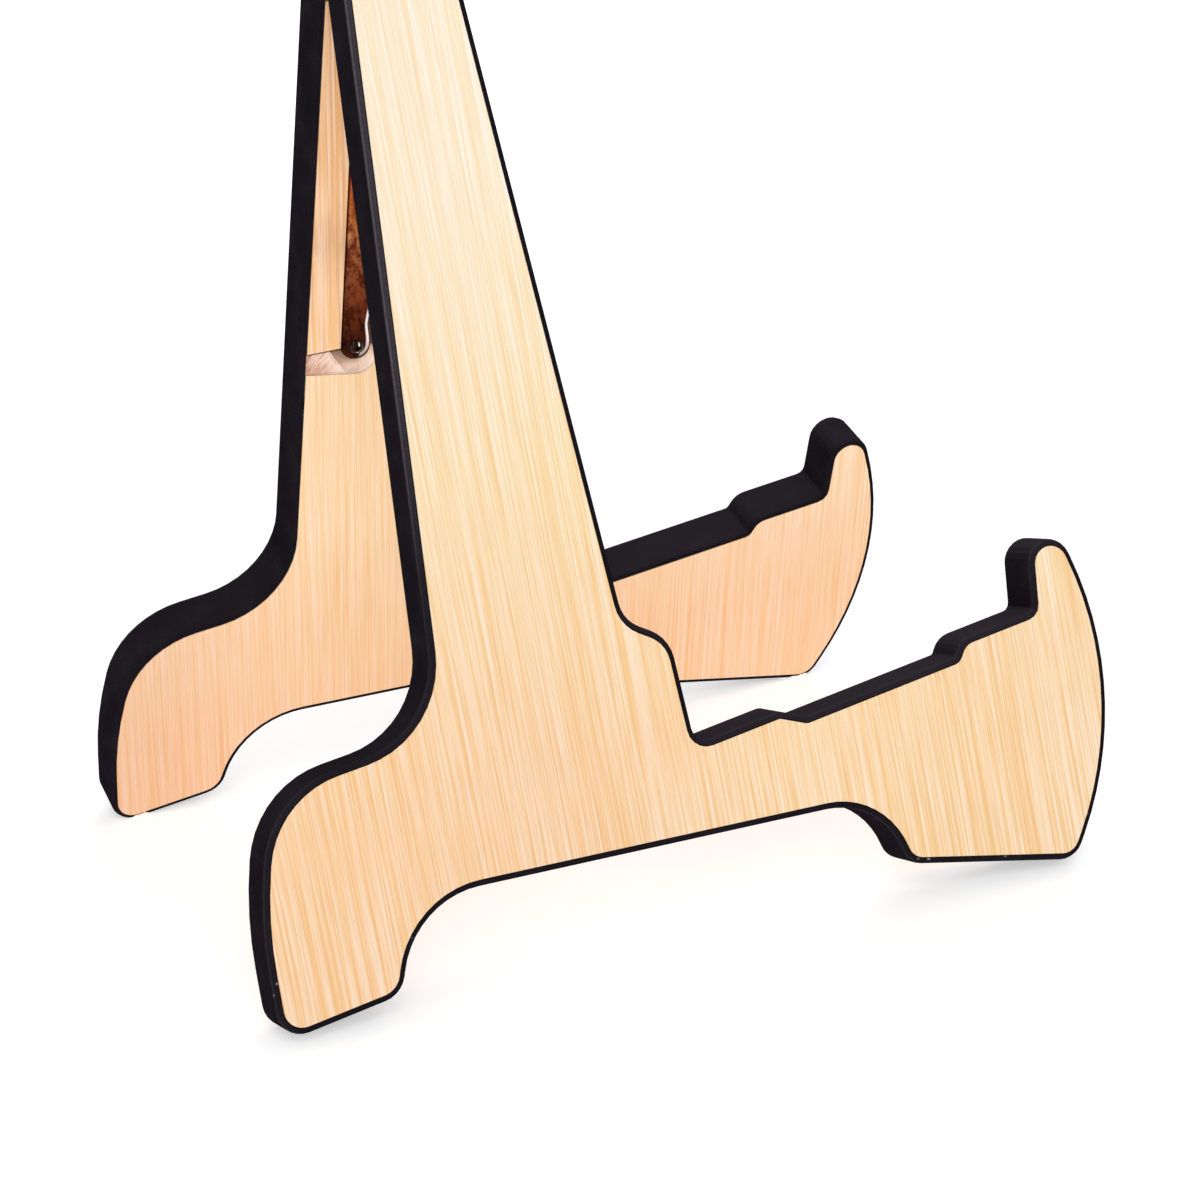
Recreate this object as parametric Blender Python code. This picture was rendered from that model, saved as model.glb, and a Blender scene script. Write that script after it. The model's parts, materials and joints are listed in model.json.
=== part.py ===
"""Folding guitar stand made of two boards joined by one hinge at the top.

Metres, +Z up, front of the stand towards -Y, standing open on the plane z = 0.
Each side is one board with an upright, an arm that ends in a hook and two feet. The
boards lean towards each other and their bevelled tops meet, which stops the fold.

A board's outline is given in its own plane: "forward" from the upright's centre line
and "drop" down from the line where both inner faces would meet. "Depth" runs from the
inner face into the board. side is +1 for the right-hand board (+X) and -1 for the left.
"""
import math

import bmesh
import bpy
from mathutils import Matrix, Vector

MM = 0.001

# Fold and clearances
OPEN_ANGLE = math.radians(31.9)
SEAM = 0.3 * MM
POCKET_CLEARANCE = 0.3 * MM

# Boards and the thin face sheets bonded on them
BOARD_THICKNESS = 18 * MM
OUTER_ROUNDING = 1.8 * MM
INNER_ROUNDING = 1.5 * MM
RIM_FLAT = 0.1 * MM
SHEET_THICKNESS = 0.4 * MM

# Upright
TOP_RISE = 3 * MM
TOP_CORNER = 12 * MM
UPRIGHT_WIDTH = 34.7 * MM
UPRIGHT_TAPER = 0.0686
SHOULDER_DROP = 210.2 * MM
SHOULDER_RADIUS = 10.5 * MM
SHOULDER_FORWARD = 45.6 * MM
SHOULDER_FALL = 8.4 * MM
SHOULDER_NOSE_RADIUS = 12.6 * MM

# Arm with three rests on one slope, and its hook
NOTCH_FORWARD = 47.5 * MM
NOTCH_DROP = 252.6 * MM
NOTCH_RADIUS = 4.6 * MM
REST_SLOPE = 0.1243
REAR_REST = 29.0 * MM
CREST_RADIUS = 3.3 * MM
STEP_RUN = 8.9 * MM
STEP_FALL = 3.6 * MM
STEP_RADIUS = 0.9 * MM
MIDDLE_REST = 54.0 * MM
RISER_RUN = 3.0 * MM
RISER_RISE = 5.1 * MM
RISER_RADIUS = 1.3 * MM
FRONT_REST = 26.9 * MM
FRONT_REST_RADIUS = 7.4 * MM
HOOK_LEAN = 2.6 * MM
HOOK_HEIGHT = 26.8 * MM
HOOK_WIDTH = 13.3 * MM
HOOK_TOP_FALL = 8.2 * MM
HOOK_ROOT_RADIUS = 2.7 * MM
HOOK_REAR_RADIUS = 7.7 * MM
HOOK_FRONT_RADIUS = 8.1 * MM
BELLY_FORWARD = 201.5 * MM
BELLY_DROP = 270.4 * MM
BELLY_RADIUS = 106 * MM

# Feet and the arch between them
FRONT_TOE_FORWARD = 169.8 * MM
FRONT_TOE_DROP = 319.7 * MM
FRONT_HEEL_FORWARD = 110.9 * MM
FRONT_HEEL_DROP = 306.6 * MM
ARCH_FRONT_FORWARD = 105.2 * MM
ARCH_FRONT_DROP = 283.7 * MM
ARCH_REAR_FORWARD = -50.5 * MM
ARCH_REAR_DROP = 277.8 * MM
ARCH_RADIUS = 28.3 * MM
REAR_HEEL_FORWARD = -59.4 * MM
REAR_HEEL_DROP = 304.5 * MM
HEEL_RADIUS = 8.8 * MM
REAR_TOE_FORWARD = -98.7 * MM
REAR_TOE_DROP = 309.3 * MM
TOE_RADIUS = 8 * MM
REAR_BACK_FORWARD = -98.0 * MM
REAR_BACK_DROP = 272.7 * MM
REAR_BACK_RADIUS = 129.5 * MM
REAR_KNEE_FORWARD = -87.7 * MM
REAR_KNEE_DROP = 235.7 * MM
REAR_KNEE_RADIUS = 31.5 * MM
WAIST_DROP = 229.8 * MM
WAIST_RADIUS = 28.7 * MM
FOOT_TRIM = 0.5 * MM

# Hinge: two leaves with long straps, let into the inner faces
PIN_RADIUS = 2.0 * MM
PIN_HEAD_RADIUS = 3.6 * MM
PIN_HEAD_THICKNESS = 1.4 * MM
PIN_CAP_THICKNESS = 2.4 * MM
KNUCKLE_COUNT = 5
LEAF_THICKNESS = 2.1 * MM
LEAF_RISE = 0.8 * MM
LEAF_ROUNDING = 1.2 * MM
PLATE_FRONT = 13 * MM
PLATE_LENGTH = 26 * MM
PLATE_CORNER = 3 * MM
STRAP_WIDTH = 9.8 * MM
STRAP_REAR = 5.5 * MM
STRAP_LEAN = 0.0558
STRAP_ROUNDING = 8 * MM
EYE_DROP = 135.3 * MM
STRAP_WAIST_CUT = 1.2 * MM
STRAP_WAIST_RADIUS = 6 * MM
STRAP_WAIST_ABOVE_EYE = 8 * MM
STRAP_WAIST_LENGTH = 8 * MM

# Pocket's lower end, with a shallow scoop out to the rear edge
SCOOP_ABOVE_EYE = 0.2 * MM
SCOOP_BELOW_EYE = 6.9 * MM
SCOOP_SLOPE = 0.17
SCOOP_DEPTH = 1.4 * MM
SCOOP_WIDENING = 4.0 * MM
SCOOP_CORNER = 1.5 * MM
POCKET_CORNER = 5 * MM
POCKET_END_RADIUS = 6.5 * MM
POCKET_FRONT_GAP = 2.7 * MM

# Screws
PLATE_SCREW_ROWS = (10.5 * MM, 20.0 * MM)
PLATE_SCREW_EDGE = 4.8 * MM
SCREW_HEAD_RADIUS = 2.5 * MM
SCREW_SHANK_RADIUS = 1.2 * MM
SCREW_HEAD_DEPTH = 1.4 * MM
SCREW_LENGTH = 12 * MM
SCREW_TIP_LENGTH = 3 * MM
SCREW_TIP_RADIUS = 0.3 * MM
SCREW_DOME = 1.1 * MM

# How finely round shapes are faceted
SAGITTA = 0.07 * MM
ROUND_SIDES = 24
SCREW_SIDES = 16
BOARD_STEPS = 2
LEAF_STEPS = 2

# Worked out from the sizes above
HALF_ANGLE = OPEN_ANGLE / 2
SHEET_BED = SHEET_THICKNESS + SEAM
OUTER_RIM = OUTER_ROUNDING + RIM_FLAT
INNER_RIM = INNER_ROUNDING + RIM_FLAT
PIN_OFFSET = PIN_RADIUS + SEAM
PIN_BELOW = PIN_OFFSET / math.sin(HALF_ANGLE)
PIN_DROP = PIN_BELOW * math.cos(HALF_ANGLE)
KNUCKLE_RADIUS = PIN_OFFSET + LEAF_THICKNESS
GROOVE_RADIUS = KNUCKLE_RADIUS + SEAM
POCKET_DEPTH = LEAF_THICKNESS + SEAM
FIELD_TOP = PIN_DROP + GROOVE_RADIUS
PLATE_END = PIN_DROP + PLATE_LENGTH
EYE_RADIUS = STRAP_WIDTH / 2
SCOOP_TOP = EYE_DROP - SCOOP_ABOVE_EYE
SCOOP_BOTTOM = EYE_DROP + EYE_RADIUS + SCOOP_BELOW_EYE
REACH = 2 * (UPRIGHT_WIDTH + BOARD_THICKNESS)


def edge_forward(drop):
    """Distance from the upright's centre line to either of its edges."""
    return UPRIGHT_WIDTH / 2 + UPRIGHT_TAPER * drop


def strap_rear(drop):
    """Rear edge of the hinge strap, which leans back as it goes down."""
    return -STRAP_REAR - STRAP_LEAN * drop


def strap_front(drop):
    return strap_rear(drop) + STRAP_WIDTH


def pocket_rear(drop):
    return strap_rear(drop) - POCKET_CLEARANCE


def pocket_front(drop):
    return strap_front(drop) + POCKET_FRONT_GAP


def scoop_bottom(forward):
    """Lower edge of the pocket and the scoop, level with SCOOP_BOTTOM at the pocket's front."""
    return SCOOP_BOTTOM - SCOOP_SLOPE * (pocket_front(SCOOP_BOTTOM) - forward)


def arm_corners():
    """Corners of the arm's top from the notch to the hook's tip, going forward."""
    forward, drop = NOTCH_FORWARD, NOTCH_DROP
    corners = [(forward, drop, NOTCH_RADIUS)]
    moves = (
        (REAR_REST, -REST_SLOPE * REAR_REST, CREST_RADIUS),
        (STEP_RUN, STEP_FALL, STEP_RADIUS),
        (MIDDLE_REST, -REST_SLOPE * MIDDLE_REST, RISER_RADIUS),
        (RISER_RUN, -RISER_RISE, FRONT_REST_RADIUS),
        (FRONT_REST, -REST_SLOPE * FRONT_REST, HOOK_ROOT_RADIUS),
        (HOOK_LEAN, -HOOK_HEIGHT, HOOK_REAR_RADIUS),
        (HOOK_WIDTH, HOOK_TOP_FALL, HOOK_FRONT_RADIUS),
    )
    for run, fall, radius in moves:
        forward += run
        drop += fall
        corners.append((forward, drop, radius))
    return corners


def foot_corners():
    """Corners of the belly, the feet and the arch, going from front to rear."""
    return [
        (BELLY_FORWARD, BELLY_DROP, BELLY_RADIUS),
        (FRONT_TOE_FORWARD, FRONT_TOE_DROP, TOE_RADIUS),
        (FRONT_HEEL_FORWARD, FRONT_HEEL_DROP, HEEL_RADIUS),
        (ARCH_FRONT_FORWARD, ARCH_FRONT_DROP, ARCH_RADIUS),
        (ARCH_REAR_FORWARD, ARCH_REAR_DROP, ARCH_RADIUS),
        (REAR_HEEL_FORWARD, REAR_HEEL_DROP, HEEL_RADIUS),
        (REAR_TOE_FORWARD, REAR_TOE_DROP, TOE_RADIUS),
        (REAR_BACK_FORWARD, REAR_BACK_DROP, REAR_BACK_RADIUS),
        (REAR_KNEE_FORWARD, REAR_KNEE_DROP, REAR_KNEE_RADIUS),
    ]


def board_corners():
    """Whole outline of a board: forward, drop and radius of each corner."""
    top = edge_forward(-TOP_RISE)
    return [
        (-top, -TOP_RISE, TOP_CORNER),
        (top, -TOP_RISE, TOP_CORNER),
        (edge_forward(SHOULDER_DROP), SHOULDER_DROP, SHOULDER_RADIUS),
        (SHOULDER_FORWARD, SHOULDER_DROP + SHOULDER_FALL, SHOULDER_NOSE_RADIUS),
        *arm_corners(),
        *foot_corners(),
        (-edge_forward(WAIST_DROP), WAIST_DROP, WAIST_RADIUS),
    ]


def pocket_corners():
    """Pocket for the hinge leaf in a board's inner face."""
    plate_front = PLATE_FRONT + POCKET_CLEARANCE
    plate_end = PLATE_END + POCKET_CLEARANCE
    toe = pocket_rear(SCOOP_TOP) + SCOOP_WIDENING / 2
    return [
        (pocket_rear(PIN_DROP), PIN_DROP, 0),
        (plate_front, PIN_DROP, 0),
        (plate_front, plate_end, PLATE_CORNER),
        (pocket_front(plate_end), plate_end, POCKET_CORNER),
        (pocket_front(SCOOP_BOTTOM), SCOOP_BOTTOM, POCKET_END_RADIUS),
        (toe, scoop_bottom(toe), SCOOP_CORNER),
        (pocket_rear(SCOOP_TOP) - SCOOP_WIDENING, SCOOP_TOP, 0),
        (pocket_rear(SCOOP_TOP), SCOOP_TOP, 0),
    ]


def field_corners():
    """Part of the inner face that the main face sheet leaves free."""
    plate_front = PLATE_FRONT + POCKET_CLEARANCE
    plate_end = PLATE_END + POCKET_CLEARANCE
    return [
        (-REACH, -REACH, 0),
        (REACH, -REACH, 0),
        (REACH, FIELD_TOP, 0),
        (plate_front, FIELD_TOP, 0),
        (plate_front, plate_end, PLATE_CORNER),
        (pocket_front(plate_end), plate_end, POCKET_CORNER),
        (pocket_front(SCOOP_BOTTOM), SCOOP_BOTTOM, POCKET_END_RADIUS),
        (-REACH, scoop_bottom(-REACH), 0),
    ]


def strip_corners():
    """Slip of face sheet between the rear edge and the pocket."""
    rim = INNER_RIM + SEAM
    return [
        (-edge_forward(FIELD_TOP) + rim, FIELD_TOP, 0),
        (pocket_rear(FIELD_TOP), FIELD_TOP, 0),
        (pocket_rear(SCOOP_TOP), SCOOP_TOP, 0),
        (-edge_forward(SCOOP_TOP) + rim, SCOOP_TOP, 0),
    ]


def knuckles(side):
    """Start and end, along the pin, of the knuckles that belong to one leaf."""
    start = strap_rear(PIN_DROP)
    length = (PLATE_FRONT - start - (KNUCKLE_COUNT - 1) * SEAM) / KNUCKLE_COUNT
    first = 0 if side > 0 else 1
    pitch = length + SEAM
    return [(start + i * pitch, start + i * pitch + length)
            for i in range(first, KNUCKLE_COUNT, 2)]


def leaf_corners(side):
    """Outline of a leaf: fingers up to the pin, plate, strap, waist and round eye."""
    notch = PIN_DROP + KNUCKLE_RADIUS + SEAM
    corners = []
    for start, end in knuckles(side):
        if start > strap_rear(PIN_DROP) + SEAM:
            corners.append((start, notch, 0))
        corners += [(start, PIN_DROP, 0), (end, PIN_DROP, 0)]
        if end < PLATE_FRONT - SEAM:
            corners.append((end, notch, 0))
    if side < 0:
        corners.insert(0, (strap_rear(notch), notch, 0))
        corners.append((PLATE_FRONT, notch, 0))
    eye_end = EYE_DROP + EYE_RADIUS
    waist = EYE_DROP - STRAP_WAIST_ABOVE_EYE
    waist_top = waist - STRAP_WAIST_LENGTH
    return corners + [
        (PLATE_FRONT, PLATE_END, PLATE_CORNER),
        (strap_front(PLATE_END), PLATE_END, POCKET_CORNER),
        (strap_front(waist_top), waist_top, STRAP_ROUNDING),
        (strap_front(waist) - STRAP_WAIST_CUT, waist, STRAP_WAIST_RADIUS),
        (strap_front(EYE_DROP), EYE_DROP, STRAP_ROUNDING),
        (strap_front(EYE_DROP), eye_end, EYE_RADIUS),
        (strap_rear(eye_end), eye_end, EYE_RADIUS),
    ]


def rounded_outline(corners, inset=0.0):
    """Points of a closed outline with rounded corners, moved inwards by inset."""
    count = len(corners)
    points = [Vector(corner[:2]) for corner in corners]
    edges = [points[(i + 1) % count] - points[i] for i in range(count)]
    sense = math.copysign(1, sum(points[i - 1].cross(points[i]) for i in range(count)))
    turns = [math.atan2(edges[i - 1].cross(edges[i]), edges[i - 1].dot(edges[i]))
             for i in range(count)]
    tangents = [corners[i][2] * abs(math.tan(turns[i] / 2)) for i in range(count)]
    fits = [min(1, 0.98 * edges[i].length / max(tangents[i] + tangents[(i + 1) % count], SEAM))
            for i in range(count)]
    outline = []
    for i in range(count):
        normals = [Vector((-edge.y, edge.x)).normalized() * sense
                   for edge in (edges[i - 1], edges[i])]
        mitre = (normals[0] + normals[1]) / (1 + normals[0].dot(normals[1]))
        corner = points[i] + mitre * inset
        if not corners[i][2]:
            outline.append(corner)
            continue
        bulge = math.copysign(1, turns[i] * sense)
        nominal = corners[i][2] * min(fits[i - 1], fits[i])
        radius = max(nominal - bulge * inset, SAGITTA)
        centre = corner + mitre * radius * bulge
        arm = -normals[0] * radius * bulge
        step = 2 * math.acos(1 - min(SAGITTA / corners[i][2], 0.5))
        steps = max(2, math.ceil(abs(turns[i]) / step))
        outline += [centre + Matrix.Rotation(turns[i] * k / steps, 2) @ arm
                    for k in range(steps + 1)]
    return outline


def board_point(side, forward, drop, depth):
    """A point in a board's own frame, whose origin lies on the hinge pin's axis."""
    return Vector((side * (PIN_OFFSET + depth), -forward, PIN_DROP - drop))


def skin(bm, rings):
    """Closed surface through rings of points, with flat ends."""
    loops = [[bm.verts.new(point) for point in ring] for ring in rings]
    for lower, upper in zip(loops, loops[1:]):
        for i in range(len(lower)):
            bm.faces.new((lower[i - 1], lower[i], upper[i], upper[i - 1]))
    bm.faces.new(loops[0])
    bm.faces.new(loops[-1])


def add_slab(bm, side, corners, levels):
    """Body through copies of an outline, each with its own inset and depth."""
    skin(bm, [[board_point(side, point.x, point.y, depth)
               for point in rounded_outline(corners, inset)]
              for inset, depth in levels])


def add_turned(bm, start, direction, profile, sides):
    """Body turned about a line: profile holds the distance along it and the radius."""
    axis = direction.normalized()
    across = axis.orthogonal().normalized()
    rings = []
    for along, radius in profile:
        spin = [Matrix.Rotation(math.tau * (k + 0.5) / sides, 3, axis) @ across
                for k in range(sides)]
        rings.append([start + axis * along + arm * radius for arm in spin])
    skin(bm, rings)


def rounding_levels(radius, edge_depth, outward, steps):
    """Insets and depths of a quarter-round edge that ends at edge_depth."""
    angles = [math.pi / 2 * k / steps for k in range(steps + 1)]
    return [(radius * (1 - math.cos(a)), edge_depth - outward * radius * (1 - math.sin(a)))
            for a in angles]


def make_material(name, colour, roughness, metallic=0.0):
    material = bpy.data.materials.new(name)
    material.use_nodes = True
    shader = material.node_tree.nodes["Principled BSDF"]
    shader.inputs["Base Color"].default_value = (*colour, 1)
    shader.inputs["Roughness"].default_value = roughness
    shader.inputs["Metallic"].default_value = metallic
    return material


def add_object(name, bm, parent, material=None):
    """Object from a bmesh. One without a material is a hidden cutter."""
    bmesh.ops.recalc_face_normals(bm, faces=bm.faces)
    mesh = bpy.data.meshes.new(name)
    bm.to_mesh(mesh)
    bm.free()
    thing = bpy.data.objects.new(name, mesh)
    thing.parent = parent
    bpy.context.scene.collection.objects.link(thing)
    if material is None:
        thing.hide_render = True
        thing.display_type = "WIRE"
    else:
        mesh.materials.append(material)
        mesh.shade_smooth()
        mesh.set_sharp_from_angle(angle=math.radians(32))
    return thing


def combine(part, other, operation="DIFFERENCE"):
    modifier = part.modifiers.new(other.name, "BOOLEAN")
    modifier.operation = operation
    modifier.object = other


def add_empty(name, parent=None, location=(0, 0, 0), rotation=(0, 0, 0)):
    empty = bpy.data.objects.new(name, None)
    empty.empty_display_size = 0.02
    empty.parent = parent
    empty.location = location
    empty.rotation_euler = rotation
    bpy.context.scene.collection.objects.link(empty)
    return empty


def toe_centre(before, corner, after):
    """Centre of a toe's rounding, from the toe's corner and the corners beside it."""
    arms = [(Vector(other) - Vector(corner)).normalized() for other in (before, after)]
    half = arms[0].angle(arms[1]) / 2
    return Vector(corner) + (arms[0] + arms[1]).normalized() * TOE_RADIUS / math.sin(half)


def foot_line():
    """Line that touches both toes: its slope and its drop at the upright's centre line."""
    front = toe_centre((BELLY_FORWARD, BELLY_DROP), (FRONT_TOE_FORWARD, FRONT_TOE_DROP),
                       (FRONT_HEEL_FORWARD, FRONT_HEEL_DROP))
    rear = toe_centre((REAR_HEEL_FORWARD, REAR_HEEL_DROP), (REAR_TOE_FORWARD, REAR_TOE_DROP),
                      (REAR_BACK_FORWARD, REAR_BACK_DROP))
    slope = (front.y - rear.y) / (front.x - rear.x)
    return slope, rear.y - slope * rear.x + TOE_RADIUS * math.hypot(1, slope)


def standing_pose():
    """Tilt of the hinge line and where the pin lies, with the toes on the floor."""
    slope, drop = foot_line()
    tilt = math.atan(slope * math.cos(HALF_ANGLE))
    arris = INNER_ROUNDING * (math.cos(HALF_ANGLE) + math.sin(HALF_ANGLE) - 1)
    height = (drop * math.cos(HALF_ANGLE) - arris) * math.cos(tilt) - FOOT_TRIM
    reaches = []
    for point in rounded_outline(board_corners()):
        for depth in (0, BOARD_THICKNESS):
            below = point.y * math.cos(HALF_ANGLE) - depth * math.sin(HALF_ANGLE)
            reaches.append(point.x * math.cos(tilt) + below * math.sin(tilt))
    middle = (min(reaches) + max(reaches)) / 2
    pin = Vector((0, middle - PIN_BELOW * math.sin(tilt), height - PIN_BELOW * math.cos(tilt)))
    return tilt, pin


def screw_profile(dome):
    """Countersunk wood screw: domed head, cone, shank and tip, from the top down."""
    head = SCREW_HEAD_RADIUS
    tip = SCREW_HEAD_DEPTH + SCREW_LENGTH
    return [
        (-dome, head * 0.35), (-dome * 0.6, head * 0.78), (0, head),
        (SCREW_HEAD_DEPTH, SCREW_SHANK_RADIUS), (tip - SCREW_TIP_LENGTH, SCREW_SHANK_RADIUS),
        (tip, SCREW_TIP_RADIUS),
    ]


def screw_hole_profile():
    """Hole of a countersunk screw, wider than the screw by the seam all round."""
    head = SCREW_HEAD_RADIUS + SEAM
    shank = SCREW_SHANK_RADIUS + SEAM
    return [
        (-LEAF_THICKNESS, head), (0, head), (SCREW_HEAD_DEPTH, shank),
        (SCREW_HEAD_DEPTH + SCREW_LENGTH + SEAM, shank),
    ]


def plate_screw_places():
    columns = (strap_rear(PLATE_END) + PLATE_SCREW_EDGE, PLATE_FRONT - PLATE_SCREW_EDGE)
    return [(column, PIN_DROP + row) for row in PLATE_SCREW_ROWS for column in columns]


def eye_place():
    return (strap_rear(EYE_DROP) + EYE_RADIUS, EYE_DROP)


def add_screws(bm, side, places, profile, level):
    direction = Vector((side, 0, 0))
    for forward, drop in places:
        start = board_point(side, forward, drop, level)
        add_turned(bm, start, direction, profile, SCREW_SIDES)


def add_scoop(bm, side):
    """Wedge that cuts the scoop: deepest at the pocket, gone where the rear rim starts."""
    near = pocket_rear(SCOOP_TOP) + SCOOP_WIDENING / 2
    far = -edge_forward(SCOOP_TOP) + INNER_RIM + SEAM
    shallow = SHEET_BED - SEAM / 2
    section = [(far, -LEAF_THICKNESS), (near, -LEAF_THICKNESS), (near, SCOOP_DEPTH), (far, shallow)]
    skin(bm, [
        [board_point(side, forward, SCOOP_TOP, depth) for forward, depth in section],
        [board_point(side, forward, scoop_bottom(forward), depth) for forward, depth in section],
    ])


def add_box(bm, low, high, matrix=Matrix()):
    """Box between two corners, placed by a matrix."""
    size = Vector(high) - Vector(low)
    middle = (Vector(high) + Vector(low)) / 2
    scale = Matrix.Diagonal((*size, 1))
    bmesh.ops.create_cube(bm, size=1, matrix=matrix @ Matrix.Translation(middle) @ scale)


def make_cutters(label, side, frame):
    """Cutters of one side's board and sheets."""
    cutters = {}

    pocket = bmesh.new()
    add_slab(pocket, side, pocket_corners(), ((0, -LEAF_THICKNESS), (0, POCKET_DEPTH)))
    cutters["pocket"] = pocket

    scoop = bmesh.new()
    add_scoop(scoop, side)
    cutters["scoop"] = scoop

    groove = bmesh.new()
    add_turned(groove, Vector((0, -REACH, 0)), Vector((0, 1, 0)),
               ((0, GROOVE_RADIUS), (2 * REACH, GROOVE_RADIUS)), 2 * ROUND_SIDES)
    cutters["groove"] = groove

    stop = bmesh.new()
    across = sorted((-side * REACH, side * SEAM / 2))
    add_box(stop, (across[0], -REACH, 0), (across[1], REACH, REACH),
            Matrix.Rotation(side * HALF_ANGLE, 4, "Y"))
    cutters["stop"] = stop

    holes = bmesh.new()
    add_screws(holes, side, plate_screw_places() + [eye_place()], screw_hole_profile(),
               -LEAF_RISE)
    cutters["holes"] = holes

    field = bmesh.new()
    add_slab(field, side, field_corners(), ((0, -LEAF_THICKNESS), (0, BOARD_THICKNESS / 2)))
    cutters["field"] = field

    return {key: add_object(f"{label}_{key}_cutter", bm, frame) for key, bm in cutters.items()}


def make_board(label, side, frame, cutters, floor, material):
    bm = bmesh.new()
    outer = BOARD_THICKNESS
    levels = [(INNER_RIM, SHEET_BED), (INNER_RIM, 0)]
    levels += reversed(rounding_levels(INNER_ROUNDING, 0, -1, BOARD_STEPS))
    levels += rounding_levels(OUTER_ROUNDING, outer, 1, BOARD_STEPS)
    levels += [(OUTER_RIM, outer), (OUTER_RIM, outer - SHEET_BED)]
    add_slab(bm, side, board_corners(), levels)
    board = add_object(f"{label}_board", bm, frame, material)
    for key in ("pocket", "scoop", "groove", "stop", "holes"):
        combine(board, cutters[key])
    combine(board, floor)


def make_sheets(label, side, frame, cutters, material):
    """Outer and inner face sheets and the slip beside the hinge strap."""
    bm = bmesh.new()
    rim = OUTER_RIM + SEAM
    top = BOARD_THICKNESS
    add_slab(bm, side, board_corners(), ((rim, top - SHEET_THICKNESS), (rim, top)))
    add_object(f"{label}_outer_face", bm, frame, material)

    bm = bmesh.new()
    rim = INNER_RIM + SEAM
    add_slab(bm, side, board_corners(), ((rim, 0), (rim, SHEET_THICKNESS)))
    inner = add_object(f"{label}_inner_face", bm, frame, material)
    combine(inner, cutters["field"])

    bm = bmesh.new()
    add_slab(bm, side, strip_corners(), ((0, 0), (0, SHEET_THICKNESS)))
    add_object(f"{label}_face_strip", bm, frame, material)


def make_leaf(label, side, frame, cutters, material):
    """Hinge leaf: plate and strap with rounded face edges, knuckles joined on, bored."""
    bm = bmesh.new()
    levels = [(0, LEAF_THICKNESS)]
    levels += rounding_levels(LEAF_ROUNDING, -LEAF_RISE, -1, LEAF_STEPS)
    add_slab(bm, side, leaf_corners(side), levels)
    leaf = add_object(f"{label}_hinge_leaf", bm, frame, material)

    bm = bmesh.new()
    for start, end in knuckles(side):
        add_turned(bm, Vector((0, -start, 0)), Vector((0, -1, 0)),
                   ((0, KNUCKLE_RADIUS), (end - start, KNUCKLE_RADIUS)), ROUND_SIDES)
    barrels = add_object(f"{label}_knuckle_barrels", bm, frame)
    combine(leaf, barrels, "UNION")

    bm = bmesh.new()
    add_turned(bm, Vector((0, -REACH, 0)), Vector((0, 1, 0)),
               ((0, PIN_OFFSET), (2 * REACH, PIN_OFFSET)), ROUND_SIDES)
    bore = add_object(f"{label}_knuckle_bore", bm, frame)
    combine(leaf, bore)
    combine(leaf, cutters["holes"])


def make_screws(label, side, frame, material):
    """Four screws through the plate and one through the strap's eye."""
    places = [(f"plate_screw_{number}", place, SEAM)
              for number, place in enumerate(plate_screw_places(), 1)]
    places.append(("strap_screw", eye_place(), SCREW_DOME))
    for name, place, dome in places:
        bm = bmesh.new()
        add_screws(bm, side, [place], screw_profile(dome), -LEAF_RISE)
        add_object(f"{label}_{name}", bm, frame, material)


def make_pin(frame, material):
    """Hinge pin with a domed head in front, and the push-on cap at its rear end."""
    front = PLATE_FRONT + SEAM
    rear = strap_rear(PIN_DROP) - SEAM
    stub = PIN_CAP_THICKNESS / 2
    dome = PIN_HEAD_THICKNESS
    bm = bmesh.new()
    add_turned(bm, Vector((0, -front, 0)), Vector((0, 1, 0)), (
        (-dome, PIN_HEAD_RADIUS * 0.4), (-dome * 0.7, PIN_HEAD_RADIUS * 0.8),
        (-dome * 0.3, PIN_HEAD_RADIUS), (0, PIN_HEAD_RADIUS), (0, PIN_RADIUS),
        (front - rear + stub, PIN_RADIUS),
    ), ROUND_SIDES)
    add_object("hinge_pin", bm, frame, material)

    bore = PIN_RADIUS + SEAM
    bm = bmesh.new()
    add_turned(bm, Vector((0, -rear, 0)), Vector((0, 1, 0)), (
        (stub + SEAM, bore), (0, bore), (0, PIN_HEAD_RADIUS),
        (PIN_CAP_THICKNESS * 0.6, PIN_HEAD_RADIUS),
        (PIN_CAP_THICKNESS * 0.85, PIN_HEAD_RADIUS * 0.8),
        (PIN_CAP_THICKNESS, PIN_HEAD_RADIUS * 0.4),
    ), ROUND_SIDES)
    add_object("hinge_pin_cap", bm, frame, material)


def make_side(label, side, stand, floor, materials):
    frame = add_empty(f"{label}_board_frame", stand, rotation=(0, -side * HALF_ANGLE, 0))
    cutters = make_cutters(label, side, frame)
    make_board(label, side, frame, cutters, floor, materials["edge"])
    make_sheets(label, side, frame, cutters, materials["face"])
    make_leaf(label, side, frame, cutters, materials["hinge"])
    make_screws(label, side, frame, materials["screw"])
    return frame


def clear_scene():
    for thing in list(bpy.data.objects):
        bpy.data.objects.remove(thing, do_unlink=True)


def main():
    clear_scene()
    materials = {
        "edge": make_material("black_board", (0.016, 0.014, 0.018), 0.55),
        "face": make_material("pale_wood_face", (0.86, 0.66, 0.42), 0.4),
        "hinge": make_material("antique_copper", (0.22, 0.07, 0.035), 0.25, 0.9),
        "screw": make_material("dark_copper", (0.12, 0.05, 0.03), 0.3, 0.9),
    }
    tilt, pin = standing_pose()
    stand = add_empty("stand", location=pin, rotation=(-tilt, 0, 0))
    bm = bmesh.new()
    add_box(bm, (-0.5, -0.5, -0.1), (0.5, 0.5, 0))
    floor = add_object("floor_cutter", bm, None)
    right = make_side("right", 1, stand, floor, materials)
    make_side("left", -1, stand, floor, materials)
    make_pin(right, materials["screw"])
    bpy.context.view_layer.update()


main()
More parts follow.
